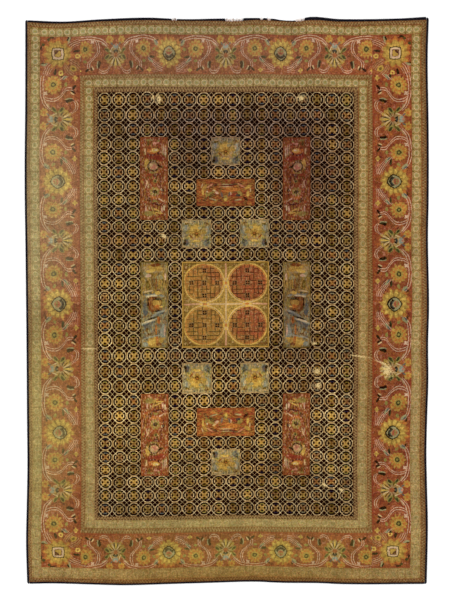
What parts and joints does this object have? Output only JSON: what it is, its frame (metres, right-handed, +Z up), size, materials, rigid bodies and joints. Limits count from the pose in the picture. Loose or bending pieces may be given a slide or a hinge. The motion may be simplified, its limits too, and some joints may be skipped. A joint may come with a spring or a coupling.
{
  "type": "indian carpet",
  "caption": "Flat rectangular hand-knotted wool carpet with a tiled field, floral borders and dark overcast edges, lying pile up.",
  "frame": {"origin": "on the floor under the middle of the carpet's bounding box", "axes": "+X across the width, +Y along the length towards the worn end, +Z up out of the pile"},
  "size_m": [3.0682, 4.3126, 0.01],
  "materials": {
    "knotted_wool": "cut wool pile on a cotton foundation, matt with a soft sheen",
    "overcast_wool": "wrapped dark wool yarn, matt"
  },
  "bodies": {
    "root": {"carpet_body": "knotted_wool", "selvedge_left": "overcast_wool", "selvedge_right": "overcast_wool", "lower_binding": "overcast_wool", "upper_binding_1": "overcast_wool", "upper_binding_2": "overcast_wool", "upper_binding_3": "overcast_wool", "upper_binding_4": "overcast_wool", "upper_binding_5": "overcast_wool", "upper_binding_6": "overcast_wool"}
  },
  "joints": []
}
